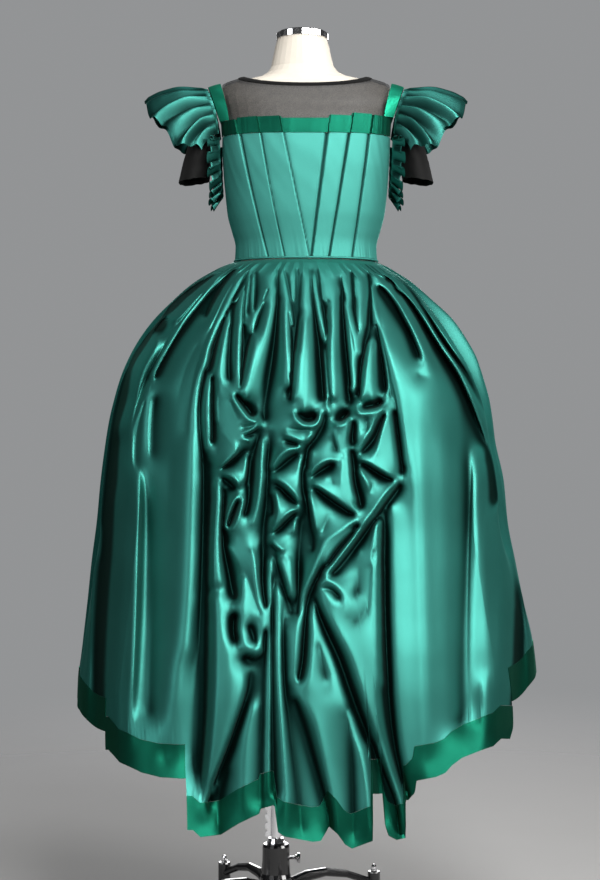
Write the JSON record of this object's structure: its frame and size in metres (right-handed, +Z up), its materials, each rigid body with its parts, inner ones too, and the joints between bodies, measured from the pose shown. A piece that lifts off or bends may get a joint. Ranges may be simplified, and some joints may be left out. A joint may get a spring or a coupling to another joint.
{
  "type": "ball gown costume on a limbless dress form with a stand",
  "caption": "Floor-standing limbless dress form wearing a green satin ball gown with flutter sleeves, a mesh yoke and a picked-up, high-low skirt.",
  "frame": {"origin": "on the floor, under the middle of the whole object's bounding box", "axes": "+Z up; the gathered and picked-up back of the gown, the side in the picture, faces -Y; +X is to the right as that side is seen"},
  "size_m": [0.958, 0.7788, 1.8982],
  "materials": {
    "green_satin": "satin",
    "green_band": "matte",
    "black_mesh": "matte",
    "black_cloth": "matte",
    "form_cover": "matte",
    "chrome": "polished",
    "black_enamel": "gloss",
    "rubber": "matte"
  },
  "bodies": {
    "base": {"hub": "black_enamel", "collar": "chrome", "outer_tube": "chrome", "notched_strip": "chrome", "lift_collar": "black_enamel", "leg_1": "black_enamel", "leg_2": "black_enamel", "leg_3": "black_enamel", "leg_4": "black_enamel", "nut_1": "chrome", "nut_2": "chrome", "nut_3": "chrome", "nut_4": "chrome", "foot_1": "rubber", "foot_2": "rubber", "foot_3": "rubber", "foot_4": "rubber"},
    "lift": {"lift_pole": "chrome"},
    "form": {"torso": "form_cover", "neck_cap": "chrome", "skirt_centre_back": "green_satin", "skirt_side_back_right": "green_satin", "skirt_side_front_right": "green_satin", "skirt_centre_front": "green_satin", "skirt_side_front_left": "green_satin", "skirt_side_back_left": "green_satin", "bodice_back": "green_satin", "bodice_front": "green_satin", "waist_piping": "green_satin", "flutter_sleeve_left": "green_satin", "flutter_sleeve_right": "green_satin", "armhole_ruffle_left": "green_satin", "armhole_ruffle_right": "green_satin", "skirt_centre_back_hem_band": "green_band", "skirt_side_back_right_hem_band": "green_band", "skirt_side_front_right_hem_band": "green_band", "skirt_centre_front_hem_band": "green_band", "skirt_side_front_left_hem_band": "green_band", "skirt_side_back_left_hem_band": "green_band", "top_band_back": "green_band", "top_band_front": "green_band", "strap_left": "green_band", "strap_right": "green_band", "yoke_back": "black_mesh", "yoke_front": "black_mesh", "neck_binding": "black_cloth", "short_sleeve_left": "black_cloth", "short_sleeve_right": "black_cloth"},
    "screw": {"thumb_screw": "chrome"}
  },
  "joints": [
    {"name": "form_lift", "type": "slide", "parent": "base", "child": "lift", "axis": [0, 0, 1], "range_m": [-0.1, 0.12]},
    {"name": "form_turn", "type": "hinge", "parent": "lift", "child": "form", "pos_m": [-0.063, 0.037, 1.05], "axis": [0, 0, 1], "continuous": true},
    {"name": "screw_turn", "type": "hinge", "parent": "base", "child": "screw", "pos_m": [-0.023, 0.037, 0.158], "axis": [1, 0, 0], "continuous": true}
  ]
}
